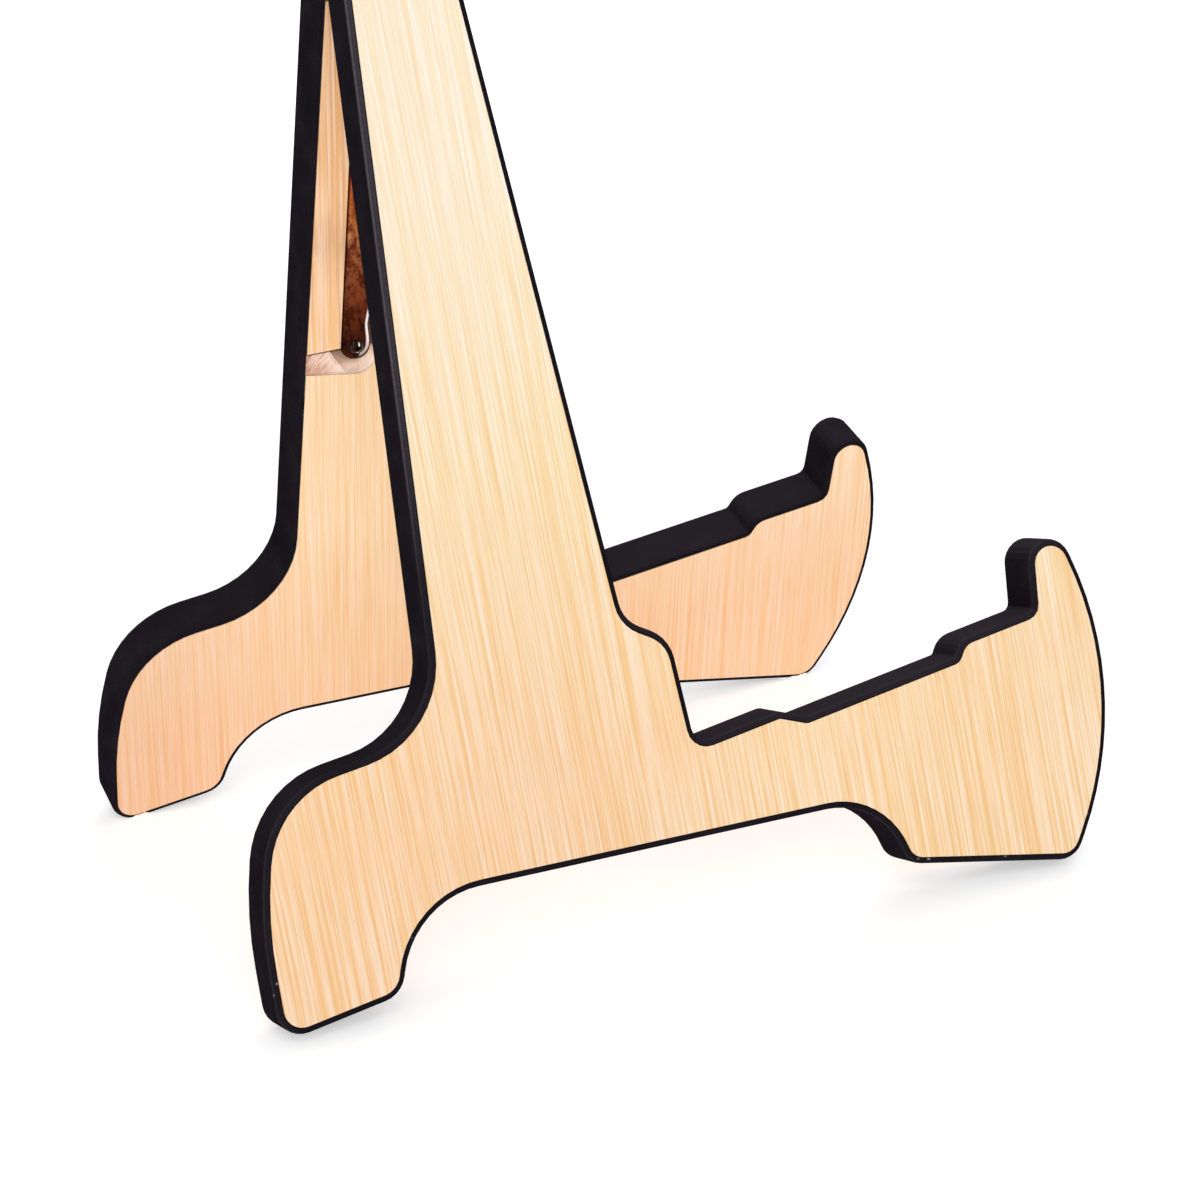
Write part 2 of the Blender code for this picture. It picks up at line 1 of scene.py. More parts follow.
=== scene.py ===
"""Looks of the folding guitar stand: wood faces, painted edges, hinge metal and screws.

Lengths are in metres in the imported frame. A board's own place is given as in the CAD:
"across" the grain and rearwards, "along" it and upwards from the hinge pin, and "depth"
into the board. "Drop" is the way down from the line where both inner faces would meet.
A noise's scale is in turns per metre, and a grain's scales are those across and along.
"""

import json
import math
from types import SimpleNamespace

import bmesh
import bpy
from mathutils import Euler, Matrix, Vector


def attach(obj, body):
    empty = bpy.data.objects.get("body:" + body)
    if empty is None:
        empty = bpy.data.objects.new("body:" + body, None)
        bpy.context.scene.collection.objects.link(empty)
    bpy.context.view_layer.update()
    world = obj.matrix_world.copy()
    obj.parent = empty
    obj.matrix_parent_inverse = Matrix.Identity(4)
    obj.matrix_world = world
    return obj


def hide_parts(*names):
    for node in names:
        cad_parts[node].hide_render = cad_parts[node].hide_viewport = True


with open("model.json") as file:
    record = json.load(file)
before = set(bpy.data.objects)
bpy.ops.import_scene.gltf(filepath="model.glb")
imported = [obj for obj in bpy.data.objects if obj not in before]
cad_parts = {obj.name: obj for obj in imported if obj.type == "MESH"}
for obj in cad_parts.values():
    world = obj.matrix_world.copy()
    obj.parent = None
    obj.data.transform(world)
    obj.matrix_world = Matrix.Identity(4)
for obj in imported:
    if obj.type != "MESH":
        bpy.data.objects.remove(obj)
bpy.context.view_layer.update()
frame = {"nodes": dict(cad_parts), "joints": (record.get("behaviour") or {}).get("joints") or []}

MM = 0.001
SIDES = {"right": 1, "left": -1}
SEEDS = {"right": 10, "left": 40}

# Hinge and board, as in the CAD
FOLD = frame["joints"][0]
PIN = Vector(FOLD["pos_m"])
TILT = math.asin(FOLD["axis"][2])
HALF_ANGLE = math.radians(FOLD["range_deg"][1]) / 2
PIN_OFFSET = 2.3 * MM
PIN_DROP = PIN_OFFSET / math.tan(HALF_ANGLE)
BOARD_THICKNESS = 18 * MM
UPRIGHT_WIDTH = 34.7 * MM
UPRIGHT_TAPER = 0.0686
RIM = 1.6 * MM
SEAM = 0.3 * MM
GROOVE_END = PIN_DROP + 4 * MM
POCKET_DEPTH = 3.4 * MM
POCKET_END = 151 * MM
STRAP_REAR = 5.5 * MM
STRAP_LEAN = 0.0558
STRAP_WIDTH = 9.8 * MM
STRAP_TOP = 60 * MM
EYE_DROP = 135.3 * MM
EYE_RADIUS = STRAP_WIDTH / 2
EYE_ACROSS = EYE_RADIUS - (STRAP_WIDTH - STRAP_REAR) + STRAP_LEAN * EYE_DROP

# Screws
SCREW_HEAD = 2.5 * MM
SCREW_HEAD_DEPTH = 1.4 * MM
SCREW_SHANK = 1.2 * MM
SCREW_LENGTH = 13.4 * MM
SCREW_TIP = 3 * MM
SCREW_POINT = 0.3 * MM
SCREW_DOME = 1.1 * MM
DOME_STEPS = 8
DOME_FLAT = 0.1 * MM
RECESS_REACH = 1.25 * MM
RECESS_WIDTH = 0.55 * MM
RECESS_DEPTH = 0.9 * MM
PLATE_SCREWS = 4
FIRST_SPIN = 0.4
SPIN_STEP = 1.1
# Painted glints on the strap screw's dome
GLINTS = ((1.3 * MM, -0.55 * MM, 0.8 * MM, 0.35 * MM),
          (-1.55 * MM, -0.1 * MM, 0.25 * MM, 0.5 * MM))

# Grain of the wood faces
FIBRE_SCALES = (1450, 12)
STREAK_SCALES = (480, 8)
BAND_SCALES = (90, 2)
PORE_SCALES = (2800, 40)
SWAY_SCALES = (25, 6)
SWAY = 0.7 * MM
FIBRE_SHARE = 0.69
STREAK_SHARE = 0.20
BAND_SHARE = 0.11
MID_GRAIN = 0.51
PORE_RELIEF = 0.6
WOOD_HEIGHT = 300 * MM
WOOD_REACH = 160 * MM
LOW_WOOD = 0.1
HIGH_WOOD = 0.8
WOOD_COLOURS = ((0.36, (0.84, 0.53, 0.235)), (0.45, (0.87, 0.61, 0.335)),
                (0.52, (0.885, 0.66, 0.41)), (0.60, (0.90, 0.725, 0.53)),
                (0.68, (0.91, 0.77, 0.63)))
WHITE = (1, 1, 1)
OUTER_CONTRAST = (2.0, 0.95)
# The tones of the outer and inner faces are painted light and shade: lighter or darker by height
# and at front and rear, as light falls on them.
OUTER_PAINTED_LIGHT = ((0.2, (0.943, 0.855, 0.83)), (0.5, (0.945, 0.98, 0.985)),
              (0.8, (0.953, 1.10, 1.36)))
OUTER_FRONT_PAINTED_LIGHT = (1.05, 1.12, 1.125)
INNER_CONTRAST = (1.3, 0.95)
INNER_PAINTED_LIGHT = ((0.1, (0.955, 0.83, 0.80)), (0.35, (1.05, 1.075, 1.13)),
              (0.6, (1.045, 1.09, 1.16)))
INNER_FRONT_PAINTED_LIGHT = (0.98, 0.965, 0.975)
INNER_REAR_PAINTED_SHADE = (0.87, 0.815, 0.82)
STRIP_CONTRAST = (2.2, 2.2)
STRIP_TONE = ((0.55, (1.05, 0.97, 0.97)), (0.8, (1.03, 0.94, 0.93)))
DARK_PATCH_DROP = 97 * MM
DARK_PATCH_REACH = 15 * MM
DARK_PATCH_SCALES = (110, 45)
SOIL_SCALES = (1000, 14)

# Paint and bare wood of the boards, with painted light, sheen and shade
GRIT_SCALE = 2600.0
CLOUD_SCALE = 90.0
STAIN_SCALE = 170.0
SPECK_SCALE = 420.0
# Painted light on the upward faces of the paint, less towards the rear
TOP_LIGHT = {"right": 0.3, "left": 0.5}
REAR_TOP_LIGHT = 0.35
REAR_TOP_LIGHT_FROM = 30 * MM
# Drops over which the painted sheen of the rear arris fades
SHEEN_FADE_FROM = 120 * MM
SHEEN_FADE_TO = 190 * MM
ARRIS_WIDTH = 1.7 * MM
ARRIS_BRIGHT = 1.0 * MM
NICK_HEIGHT = 20 * MM
NICK_END = 28 * MM
NICK_WIDTH = 3 * MM
NICK_BRIGHT = 2 * MM
WORN_HEIGHT = 1.6 * MM
WORN_BRIGHT = 0.2 * MM
MARGIN = 0.05 * MM
BARE_SCALES = (900, 60)
SAW_SCALES = (700, 90)
SCOOP_FROM = 13 * MM
SCOOP_TO = 21 * MM
# Painted light, low in the pocket's bowl
BOWL_LIGHT_FROM = EYE_DROP + 6 * MM
BOWL_LIGHT_TO = EYE_DROP + 10 * MM
# Painted shade round the strap's eye, on the cut wood
EYE_SHADE_ACROSS = EYE_ACROSS + 1.2 * MM
EYE_SHADE_DROP = EYE_DROP + 0.8 * MM
EYE_SHADE_REACH = 3 * MM
SHADE_SLOPE = 0.66
SHADE_DEPTH = 1.5 * MM
SHADE_REACH = 2 * MM
# Painted shadow line under the strip's end
SHADOW_LINE_FROM = 0.1 * MM
SHADOW_LINE_TO = 0.5 * MM

# Copper of the hinge and the painted highlight along its strap
BLOT_SCALES = (330, 170)
FLECK_SCALES = (900, 600)
HIGHLIGHT_TOP = 120.5 * MM
HIGHLIGHT_START = 2 * MM
HIGHLIGHT_WAVE = 13 * MM
HIGHLIGHT_SWING = 0.3 * MM
HIGHLIGHT_INSET = 1.5 * MM
HIGHLIGHT_CORE = 0.4 * MM
HIGHLIGHT_HALF = 0.75 * MM
HIGHLIGHT_FADE = 3 * MM
HIGHLIGHT_SIDE = (0.6 * MM, 1.8 * MM)
METAL_CLOUD_SCALE = 700.0

# Floor, lamps and camera
FLOOR_HALF = 8
FLOOR_NEAR = 0.35
FLOOR_FAR = 1.3
LAMPS = {
    "key": {"place": (-1.7, 0.5, 1.5), "aim": (0, 0, 0.14), "size": 1.2, "watts": 19},
    "rear": {"place": (-0.35, 1.1, 0.16), "aim": (0.05, 0.03, 0.12), "size": 0.4, "watts": 3.5},
    "fill": {"place": (1.6, -0.9, 1.3), "aim": (0, 0, 0.12), "size": 1.4, "watts": 16},
}
CAMERA_PLACE = (-0.93649, 0.38119, 0.46146)
CAMERA_TURN = (69.39, 2.4831, -113.387)
CAMERA_LENS = 98.726
CAMERA_SENSOR = 36


class Field:
    """What a shader node gives at each point. Python's operators on it add Math nodes."""

    def __init__(self, socket):
        self.socket = socket
        self.tree = socket.id_data

    def math(self, operation, *others):
        return math_node(self.tree, operation, self, *others)

    def __add__(self, other):
        return self.math("ADD", other)

    def __sub__(self, other):
        return self.math("SUBTRACT", other)

    def __rsub__(self, other):
        return math_node(self.tree, "SUBTRACT", other, self)

    def __mul__(self, other):
        return self.math("MULTIPLY", other)

    def __gt__(self, other):
        return self.math("GREATER_THAN", other)

    def __lt__(self, other):
        return self.math("LESS_THAN", other)

    def __abs__(self):
        return self.math("ABSOLUTE")


def feed(node, inputs):
    """Sets a node's inputs, given by name or number, each to a value or to a field."""
    for key, value in inputs.items():
        if isinstance(value, Field):
            node.id_data.links.new(value.socket, node.inputs[key])
        else:
            node.inputs[key].default_value = value


def add_node(tree, kind, inputs=None, **settings):
    node = tree.nodes.new(kind)
    for key, value in settings.items():
        setattr(node, key, value)
    feed(node, inputs or {})
    return node


def math_node(tree, operation, *values):
    node = add_node(tree, "ShaderNodeMath", dict(enumerate(values)), operation=operation)
    return Field(node.outputs[0])


def hypotenuse(first, second):
    return (first * first + second * second).math("SQRT")


def remap(value, low, high, to_low=0.0, to_high=1.0):
    """Turns low into to_low and high into to_high, straight between and level beyond."""
    node = add_node(value.tree, "ShaderNodeMapRange",
                    {0: value, 1: low, 2: high, 3: to_low, 4: to_high}, clamp=True)
    return Field(node.outputs[0])


def fade(value, near, far, most=1.0, least=0.0):
    """Falls from most at near to least at far."""
    return remap(value, near, far, most, least)


def mix(amount, first, second, blend="MIX"):
    """Mixes a colour that is a field with a second field or with one fixed colour."""
    if not isinstance(second, Field):
        second = (*second, 1)
    node = add_node(first.tree, "ShaderNodeMix", {0: amount, 6: first, 7: second},
                    data_type="RGBA", blend_type=blend, clamp_factor=True)
    return Field(node.outputs[2])


def ramp(value, stops):
    """Colour that follows a value. Each stop is a value and its colour."""
    node = add_node(value.tree, "ShaderNodeValToRGB", {0: value})
    points = node.color_ramp.elements
    while len(points) < len(stops):
        points.new(1)
    for point, (place, colour) in zip(points, stops):
        point.position = place
        point.color = (*colour, 1)
    return Field(node.outputs[0])


def split(vector):
    """The x, y and z of a vector."""
    node = add_node(vector.tree, "ShaderNodeSeparateXYZ", {0: vector})
    return [Field(socket) for socket in node.outputs]


def vector_length(vector):
    node = add_node(vector.tree, "ShaderNodeVectorMath", {0: vector}, operation="LENGTH")
    return Field(node.outputs["Value"])


def object_point(tree):
    return Field(add_node(tree, "ShaderNodeTexCoord").outputs["Object"])


def local_point(point, location, **placing):
    """A point as seen from a frame at a location, which may be turned or scaled."""
    node = add_node(point.tree, "ShaderNodeMapping",
                    {"Vector": point, "Location": location, **placing}, vector_type="TEXTURE")
    return Field(node.outputs[0])


def even_noise(point, scale, detail=3.0):
    """Noise of the same scale in all directions."""
    node = add_node(point.tree, "ShaderNodeTexNoise",
                    {"Vector": point, "Scale": scale, "Detail": detail})
    return Field(node.outputs["Fac"])


def grain_noise(across, along, scales, seed, detail=2.0, roughness=0.55):
    """Noise drawn out along the grain."""
    point = add_node(across.tree, "ShaderNodeCombineXYZ",
                     {0: across * scales[0], 1: along * scales[1], 2: seed}).outputs[0]
    node = add_node(across.tree, "ShaderNodeTexNoise", {
        "Vector": Field(point), "Scale": 1.0, "Detail": detail, "Roughness": roughness,
    })
    return Field(node.outputs["Fac"])


def bump(height, strength, distance):
    """Normal of a surface with a fine relief."""
    node = add_node(height.tree, "ShaderNodeBump",
                    {"Strength": strength, "Distance": distance, "Height": height})
    return Field(node.outputs[0])


def new_material(name):
    material = bpy.data.materials.new(name)
    material.use_nodes = True
    return material, material.node_tree, material.node_tree.nodes["Principled BSDF"]


def board_matrix(side):
    """Frame of one board: x through the board, y rearwards, z up along the upright."""
    turn = Matrix.Rotation(-TILT, 4, "X") @ Matrix.Rotation(-side * HALF_ANGLE, 4, "Y")
    return Matrix.Translation(PIN) @ turn


def place_on_board(tree, side):
    """A point's place on one side's board: across, along, depth and drop."""
    matrix = board_matrix(side)
    point = local_point(object_point(tree), matrix.translation, Rotation=matrix.to_euler())
    through, across, along = split(point)
    return across, along, through * side - PIN_OFFSET, PIN_DROP - along


def wood_face(name, side, seed, contrast, tint_and_light, front_light=WHITE, rear_light=WHITE):
    """Pale straight-grained laminate: fibres, streaks and broad bands along the upright.

    contrast is the grain's spread low and high on the board. The next argument is a tint with
    painted light and shade at stops of height, and the others are painted light and shade at
    its front and rear.
    """
    material, tree, shader = new_material(name)
    straight, along, _, _ = place_on_board(tree, side)
    sway = grain_noise(straight, along, SWAY_SCALES, seed + 9, 1)
    across = straight + sway * SWAY
    fibre = grain_noise(across, along, FIBRE_SCALES, seed, 4, 0.76)
    streak = grain_noise(across, along, STREAK_SCALES, seed + 3)
    band = grain_noise(across, along, BAND_SCALES, seed + 5)
    pore = remap(grain_noise(across, along, PORE_SCALES, seed + 7, 1), 0.58, 0.72)
    grain = fibre * FIBRE_SHARE + streak * STREAK_SHARE + band * BAND_SHARE
    height = remap(along, -WOOD_HEIGHT, 0.0)
    spread = remap(height, LOW_WOOD, HIGH_WOOD, *contrast)
    colour = ramp((grain - MID_GRAIN) * spread + MID_GRAIN, WOOD_COLOURS)
    # Painted light and shade by height, with a tint
    colour = mix(1.0, colour, ramp(height, tint_and_light), "MULTIPLY")
    length = remap(straight, WOOD_REACH, -WOOD_REACH)
    # Painted light and shade at the front and rear
    light_at_ends = ramp(length, ((0.25, rear_light), (0.5, WHITE), (0.75, front_light)))
    colour = mix(1.0, colour, light_at_ends, "MULTIPLY")
    pore_depth = remap(height, LOW_WOOD, HIGH_WOOD, 0.30, 0.08)
    feed(shader, {
        "Base Color": mix(pore * pore_depth, colour, (0.62, 0.36, 0.2)),
        "Roughness": remap(fibre, 0.3, 0.7, 0.36, 0.48),
        "Normal": bump(fibre - pore * PORE_RELIEF, 0.12, 0.15 * MM),
    })
    return material


def streak_and_darken_strip(material, side, seed):
    """Dark fine streaks on the strip beside the hinge, and a darker patch around a drop on it.
    """
    shader = material.node_tree.nodes["Principled BSDF"]
    across, along, _, drop = place_on_board(material.node_tree, side)
    lines = remap(grain_noise(across, along, SOIL_SCALES, seed + 60), 0.48, 0.66, 0.0, 0.55)
    patch = (fade(abs(drop - DARK_PATCH_DROP), 0.0, DARK_PATCH_REACH)
             * remap(grain_noise(across, along, DARK_PATCH_SCALES, seed), 0.3, 0.7))
    clean = Field(shader.inputs["Base Color"].links[0].from_socket)
    streaked = mix(lines, clean, (0.60, 0.31, 0.16))
    feed(shader, {"Base Color": mix(patch * 0.55, streaked, (0.46, 0.24, 0.13))})


def board_surface(tree, side):
    """Where a point of a board's surface lies, how it faces, and the noises it shares."""
    point = object_point(tree)
    across, along, depth, drop = place_on_board(tree, side)
    _, rearward, upward = split(Field(add_node(tree, "ShaderNodeNewGeometry").outputs["Normal"]))
    return SimpleNamespace(
        point=point, height=split(point)[2], across=across, along=along, depth=depth, drop=drop,
        rearward=rearward, upward=upward, grit=even_noise(point, GRIT_SCALE),
        cloud=even_noise(point, CLOUD_SCALE), stain=even_noise(point, STAIN_SCALE),
    )


def painted_arris_sheen(spot):
    """Painted sheen of the outer rear arris, which fades down the upright."""
    return (remap(spot.rearward, 0.1, 0.75)
            * remap(spot.depth, BOARD_THICKNESS - ARRIS_WIDTH, BOARD_THICKNESS - ARRIS_BRIGHT)
            * fade(spot.drop, SHEEN_FADE_FROM, SHEEN_FADE_TO, 1.0, 0.12))


def black_paint(spot, arris, top_light):
    """Paint with painted light on its upward faces, a painted sheen on the rear arris and nicks
    near the feet.
    """
    paint = ramp(spot.grit * 0.6 + spot.cloud * 0.4, (
        (0.40, (0.0078, 0.0064, 0.0088)), (0.55, (0.0105, 0.0088, 0.0120)),
        (0.66, (0.017, 0.0145, 0.0195)),
    ))
    # Painted light: upward faces lighter, less so towards the rear
    lit_tops = (remap(spot.upward, 0.3, 0.9, 0.0, top_light)
             * fade(spot.across, 0.0, REAR_TOP_LIGHT_FROM, 1.0, REAR_TOP_LIGHT))
    paint = mix(lit_tops, paint, (0.055, 0.043, 0.057))
    # Painted sheen: the outer rear arris lighter
    sheen_colour = ramp(spot.grit, ((0.35, (0.018, 0.014, 0.018)), (0.65, (0.066, 0.052, 0.066))))
    paint = mix(arris, paint, sheen_colour)
    nick = (remap(even_noise(spot.point, SPECK_SCALE, 1.0), 0.70, 0.75)
            * fade(spot.height, NICK_HEIGHT, NICK_END)
            * remap(spot.depth, BOARD_THICKNESS - NICK_WIDTH, BOARD_THICKNESS - NICK_BRIGHT))
    return mix(nick, paint, (0.20, 0.17, 0.19))


def bare_wood(spot, seed):
    """Cut wood of the pocket and the scoop, with saw marks, painted shade round the strap's eye
    and under the strip's end, and painted light low in the bowl and on its upward faces.
    """
    fibre = grain_noise(spot.across, spot.along, BARE_SCALES, seed, 3)
    bare = ramp(fibre * 0.35 + spot.stain * 0.65, (
        (0.36, (0.74, 0.48, 0.36)), (0.44, (0.94, 0.72, 0.59)),
        (0.53, (0.985, 0.83, 0.73)), (0.66, (0.99, 0.89, 0.81)),
    ))
    saw = grain_noise(spot.across + spot.along, spot.across - spot.along, SAW_SCALES, seed + 4)
    scoop = remap(spot.across, SCOOP_FROM, SCOOP_TO) * remap(saw, 0.40, 0.64, 0.40, 1.0)
    bare = mix(scoop, bare, (0.53, 0.24, 0.16))
    # Painted light: the pocket's bowl lighter low down
    bare = mix(remap(spot.drop, BOWL_LIGHT_FROM, BOWL_LIGHT_TO, 0.0, 0.5), bare, (1.0, 0.85, 0.75))
    # Painted light: upward faces of the cut wood lighter
    bare = mix(remap(spot.upward, 0.3, 0.7, 0.0, 0.8), bare, (0.98, 0.93, 0.90))
    # Painted shade round the strap's eye
    apart = hypotenuse(spot.across - EYE_SHADE_ACROSS, spot.drop - EYE_SHADE_DROP)
    bare = mix(fade(apart, EYE_RADIUS, EYE_RADIUS + EYE_SHADE_REACH, 0.8), bare, (0.30, 0.17, 0.10))
    below = spot.drop - spot.depth * SHADE_SLOPE
    shade = fade(below, EYE_DROP, EYE_DROP + SHADE_REACH, 0.6) * (spot.depth > SHADE_DEPTH)
    bare = mix(shade, bare, (0.30, 0.17, 0.10))
    # Painted shadow: a dark line under the strip's end
    shadow_line = fade(below, EYE_DROP + SHADOW_LINE_FROM, EYE_DROP + SHADOW_LINE_TO, 0.85)
    return mix(shadow_line, bare, (0.10, 0.05, 0.03))


def cut_places(spot):
    """1 in the hinge's pocket and the scoop, 0 elsewhere."""
    inset = spot.drop * UPRIGHT_TAPER + UPRIGHT_WIDTH / 2 - abs(spot.across)
    return ((inset > RIM + MARGIN) * (spot.drop > GROOVE_END) * (spot.drop < POCKET_END)
            * (spot.depth > MARGIN) * (spot.depth < POCKET_DEPTH))


def worn_places(spot):
    """1 where the floor has worn the paint off the feet, 0 elsewhere."""
    low = fade(spot.height, WORN_BRIGHT, WORN_HEIGHT, 0.30)
    return (spot.height < WORN_HEIGHT) * (low + spot.stain > 0.80)


def painted_board(name, side, seed, top_light):
    """Matte black painted edges, with bare wood in the hinge's pocket and the scoop.

    The argument after seed is the amount of painted light, a lighter grey, on the upward faces
    in front. The rear ones have less.
    """
    material, tree, shader = new_material(name)
    spot = board_surface(tree, side)
    arris = painted_arris_sheen(spot)
    cut = cut_places(spot)
    bare_places = cut.math("MAXIMUM", worn_places(spot))
    feed(shader, {
        "Base Color": mix(bare_places, black_paint(spot, arris, top_light), bare_wood(spot, seed)),
        "Roughness": remap(spot.cloud, 0.35, 0.65, 0.5, 0.62) + cut * 0.3,
        "Specular IOR Level": arris * 0.25,
        "Normal": bump(spot.grit, 0.25, 0.12 * MM),
    })
    return material


def painted_highlight_line(across, drop):
    """Painted highlight: a bright wavy line within the strap's front edge, from above the eye
    round its end.
    """
    from_front = STRAP_WIDTH - STRAP_REAR - drop * STRAP_LEAN + across
    beside = (EYE_RADIUS - from_front).math("MAXIMUM", 0.0)
    below = (drop - EYE_DROP).math("MAXIMUM", 0.0)
    inset = EYE_RADIUS - hypotenuse(beside, below)
    wave = ((drop - HIGHLIGHT_TOP) * (math.tau / HIGHLIGHT_WAVE)).math("COSINE")
    away = abs(inset - (HIGHLIGHT_INSET - wave * HIGHLIGHT_SWING))
    return (fade(away, HIGHLIGHT_CORE, HIGHLIGHT_HALF)
            * remap(drop, HIGHLIGHT_TOP, HIGHLIGHT_TOP + HIGHLIGHT_START)
            * remap(beside, *HIGHLIGHT_SIDE)
            * fade(drop, EYE_DROP - HIGHLIGHT_FADE, EYE_DROP + HIGHLIGHT_FADE, 1.0, 0.6))


def antique_metal(name, side, seed):
    """Glossy mottled copper, from near black at the strap's eye to brick red at the top."""
    material, tree, shader = new_material(name)
    across, along, _, drop = place_on_board(tree, side)
    blot = grain_noise(across, along, BLOT_SCALES, seed, 3)
    fleck = grain_noise(across, along, FLECK_SCALES, seed + 2)
    # The colours down the strap are partly the copper's own and partly painted reflection and
    # painted shade, darkest at the eye.
    way_down = remap(drop, STRAP_TOP, EYE_DROP)
    pale = ramp(way_down, (
        (0.16, (0.31, 0.045, 0.024)), (0.34, (0.42, 0.14, 0.035)), (0.48, (0.46, 0.21, 0.10)),
        (0.72, (0.26, 0.08, 0.037)), (0.97, (0.05, 0.013, 0.007)),
    ))
    deep = ramp(way_down, (
        (0.16, (0.21, 0.028, 0.014)), (0.34, (0.27, 0.06, 0.016)), (0.48, (0.14, 0.027, 0.012)),
        (0.72, (0.10, 0.018, 0.008)), (0.97, (0.022, 0.006, 0.004)),
    ))
    copper = mix(remap(blot * 0.75 + fleck * 0.25, 0.42, 0.56), deep, pale)
    feed(shader, {
        # Painted highlight along the strap's front edge
        "Base Color": mix(painted_highlight_line(across, drop), copper, (0.86, 0.78, 0.82)),
        "Metallic": 1.0,
        "Roughness": fade(blot, 0.35, 0.65, 0.30, 0.16),
        "Normal": bump(blot, 0.12, 0.2 * MM),
    })
    return material


def dark_metal(name, glints=()):
    """Dark polished metal of the screws and the pin, with painted glints as bright spots.

    A glint is the place of its middle on the screw's head and its reach along x and y.
    """
    material, tree, shader = new_material(name)
    point = object_point(tree)
    cloud = even_noise(point, METAL_CLOUD_SCALE)
    colour = ramp(cloud, ((0.38, (0.010, 0.005, 0.003)), (0.6, (0.028, 0.013, 0.008))))
    for x, y, reach_x, reach_y in glints:
        # Painted glint: a bright spot on the head
        apart = vector_length(local_point(point, (x, y, 0), Scale=(reach_x, reach_y, 1)))
        colour = mix(fade(apart, 0.5, 1.0), colour, (0.9, 0.85, 0.8))
    feed(shader, {
        "Base Color": colour,
        "Metallic": 1.0,
        "Roughness": remap(cloud, 0.35, 0.65, 0.10, 0.2),
        "Coat Weight": 0.15,
        "Coat IOR": 1.5,
        "Coat Roughness": 0.04,
    })
    return material


def wear(node, material):
    """Gives a CAD node its material."""
    materials = frame["nodes"][node].data.materials
    materials.clear()
    materials.append(material)


def dress_side(label, side, seed):
    strip = wood_face(f"{label}_strip_grain", side, seed + 30, STRIP_CONTRAST, STRIP_TONE)
    streak_and_darken_strip(strip, side, seed)
    finishes = {
        "outer_face": wood_face(f"{label}_outer_grain", side, seed, OUTER_CONTRAST, OUTER_PAINTED_LIGHT,
                                OUTER_FRONT_PAINTED_LIGHT),
        "inner_face": wood_face(f"{label}_inner_grain", side, seed + 20, INNER_CONTRAST,
                                INNER_PAINTED_LIGHT, INNER_FRONT_PAINTED_LIGHT, INNER_REAR_PAINTED_SHADE),
        "face_strip": strip,
        "board": painted_board(f"{label}_painted_edges", side, seed, TOP_LIGHT[label]),
        "hinge_leaf": antique_metal(f"{label}_copper_finish", side, seed),
    }
    for part, material in finishes.items():
        wear(f"{label}_{part}", material)


def dress_pin():
    metal = dark_metal("dark_copper_finish")
    wear("hinge_pin", metal)
    wear("hinge_pin_cap", metal)


def mesh_from(name, bm):
    mesh = bpy.data.meshes.new(name)
    bm.to_mesh(mesh)
    bm.free()
    return mesh


def add_object(name, data):
    thing = bpy.data.objects.new(name, data)
    bpy.context.scene.collection.objects.link(thing)
    return thing


def turned_mesh(name, profile, sides=40):
    """Mesh turned about z from radius and height, closed at both ends."""
    bm = bmesh.new()
    rings = [[bm.verts.new((radius * math.cos(math.tau * k / sides),
                            radius * math.sin(math.tau * k / sides), height))
              for k in range(sides)] for radius, height in profile]
    for upper, lower in zip(rings, rings[1:]):
        for k in range(sides):
            bm.faces.new((upper[k - 1], upper[k], lower[k], lower[k - 1]))
    bm.faces.new(rings[0])
    bm.faces.new(rings[-1])
    bmesh.ops.recalc_face_normals(bm, faces=bm.faces)
    mesh = mesh_from(name, bm)
    mesh.shade_smooth()
    mesh.set_sharp_from_angle(angle=math.radians(35))
    return mesh


def screw_profile(dome):
    """Radius and height down a countersunk screw, from the top of its dome to its point."""
    ball = (SCREW_HEAD**2 + dome**2) / (2 * dome)
    widest = math.asin(SCREW_HEAD / ball)
    angles = [widest * k / DOME_STEPS for k in range(1, DOME_STEPS + 1)]
    cap = [(ball * math.sin(angle), dome - ball * (1 - math.cos(angle))) for angle in angles]
    return [(DOME_FLAT, dome), *cap, (SCREW_SHANK, -SCREW_HEAD_DEPTH),
            (SCREW_SHANK, SCREW_TIP - SCREW_LENGTH), (SCREW_POINT, -SCREW_LENGTH)]


def recess_mesh(name, dome):
    """Two crossed blocks that cut the driver's recess."""
    bm = bmesh.new()
    block = Matrix.Diagonal((2 * RECESS_REACH, RECESS_WIDTH, 2 * RECESS_DEPTH, 1))
    for turn in (0, math.pi / 2):
        place = Matrix.Rotation(turn, 4, "Z") @ Matrix.Translation((0, 0, dome))
        bmesh.ops.create_cube(bm, size=1, matrix=place @ block)
    return mesh_from(name, bm)


def screw_mesh(name, dome, metal):
    """Countersunk screw with a domed head and a cross recess. z = 0 is the head's rim."""
    screw = add_object(name, turned_mesh(name, screw_profile(dome)))
    cutter = add_object(f"{name}_recess", recess_mesh(f"{name}_recess", dome))
    cut = screw.modifiers.new("recess", "BOOLEAN")
    cut.operation = "DIFFERENCE"
    cut.object = cutter
    cut.use_self = True
    shape = screw.evaluated_get(bpy.context.evaluated_depsgraph_get())
    result = bpy.data.meshes.new_from_object(shape)
    result.name = name
    result.materials.clear()
    result.materials.append(metal)
    bpy.data.objects.remove(screw)
    bpy.data.objects.remove(cutter)
    return result


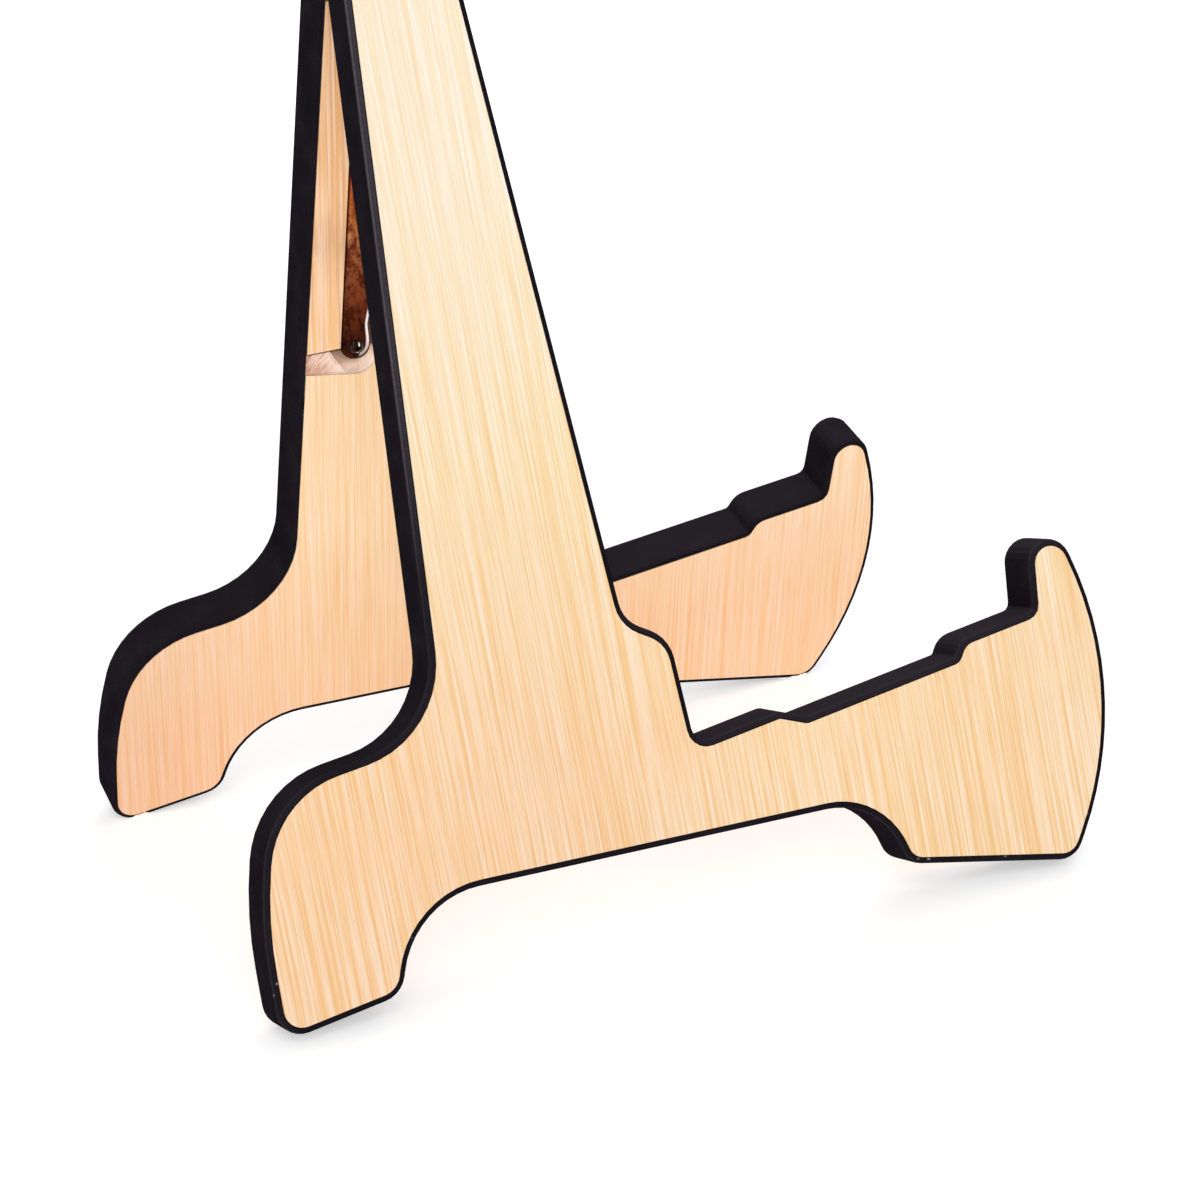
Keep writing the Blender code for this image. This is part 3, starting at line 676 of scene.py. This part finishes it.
def place_screw(label, side, node, mesh, dome, spin):
    """Puts a detailed screw where the CAD screw stands, its head out of the inner face."""
    base = board_matrix(side)
    thing = frame["nodes"][node]
    inverse = base.inverted() @ thing.matrix_world
    points = [inverse @ vertex.co for vertex in thing.data.vertices]
    depth = min(side * point.x for point in points) + dome
    middle = [(min(point[axis] for point in points) + max(point[axis] for point in points)) / 2
              for axis in (1, 2)]
    out = Matrix.Rotation(-side * math.pi / 2, 4, "Y")
    screw = add_object(f"{node}_detail", mesh)
    screw.matrix_world = (base @ Matrix.Translation((side * depth, *middle)) @ out
                          @ Matrix.Rotation(spin, 4, "Z"))
    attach(screw, f"{label}_side")
    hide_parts(node)


def make_screws():
    flush = screw_mesh("plate_screw", SEAM, dark_metal("screw_finish"))
    domed = screw_mesh("strap_screw", SCREW_DOME, dark_metal("strap_screw_finish", GLINTS))
    for label, side in SIDES.items():
        for number in range(1, PLATE_SCREWS + 1):
            place_screw(label, side, f"{label}_plate_screw_{number}", flush, SEAM,
                        FIRST_SPIN + SPIN_STEP * number * side)
        place_screw(label, side, f"{label}_strap_screw", domed, SCREW_DOME, 0.0)


def seen_ray(tree):
    """1 for rays that show the background itself or its image in a glossy piece."""
    node = add_node(tree, "ShaderNodeLightPath")
    camera, glossy, through = (Field(node.outputs[f"Is {kind} Ray"])
                               for kind in ("Camera", "Glossy", "Transmission"))
    return camera.math("MAXIMUM", glossy.math("MAXIMUM", through))


def make_floor():
    """Pale floor that looks white, also beyond the lamps' reach, and keeps a soft shadow."""
    bm = bmesh.new()
    bmesh.ops.create_grid(bm, x_segments=1, y_segments=1, size=FLOOR_HALF)
    mesh = mesh_from("floor", bm)
    floor = add_object("floor", mesh)
    material, tree, shader = new_material("floor_white")
    seen = remap(vector_length(object_point(tree)), FLOOR_NEAR, FLOOR_FAR, 0.5, 0.68)
    feed(shader, {
        "Base Color": (0.74, 0.74, 0.74, 1),
        "Roughness": 0.9,
        "Specular IOR Level": 0.0,
        "Emission Color": (1, 1, 1, 1),
        "Emission Strength": remap(seen_ray(tree), 0.0, 1.0, 0.65, seen),
    })
    mesh.materials.append(material)


def make_world():
    """White background that lights the stand less than it shows."""
    world = bpy.data.worlds.new("studio")
    world.use_nodes = True
    tree = world.node_tree
    strength = remap(seen_ray(tree), 0.0, 1.0, 0.45, 1.0)
    feed(tree.nodes["Background"], {"Color": (1, 1, 1, 1), "Strength": strength})
    bpy.context.scene.world = world


def add_lamp(name, place, aim, size, watts):
    data = bpy.data.lights.new(name, "AREA")
    data.shape = "SQUARE"
    data.size = size
    data.energy = watts
    lamp = add_object(name, data)
    lamp.location = place
    lamp.visible_camera = False
    lamp.rotation_euler = (Vector(aim) - Vector(place)).to_track_quat("-Z", "Y").to_euler()


def make_camera():
    """Camera at the photograph's place, worked out from the outlines of both boards."""
    data = bpy.data.cameras.new("camera")
    data.lens = CAMERA_LENS
    data.sensor_width = CAMERA_SENSOR
    camera = add_object("camera", data)
    camera.location = CAMERA_PLACE
    camera.rotation_euler = Euler(map(math.radians, CAMERA_TURN))
    bpy.context.scene.camera = camera


for label, side in SIDES.items():
    dress_side(label, side, SEEDS[label])
dress_pin()
make_screws()
make_floor()
make_world()
for name, lamp in LAMPS.items():
    add_lamp(name, **lamp)
make_camera()
bpy.context.scene.view_settings.view_transform = "Standard"
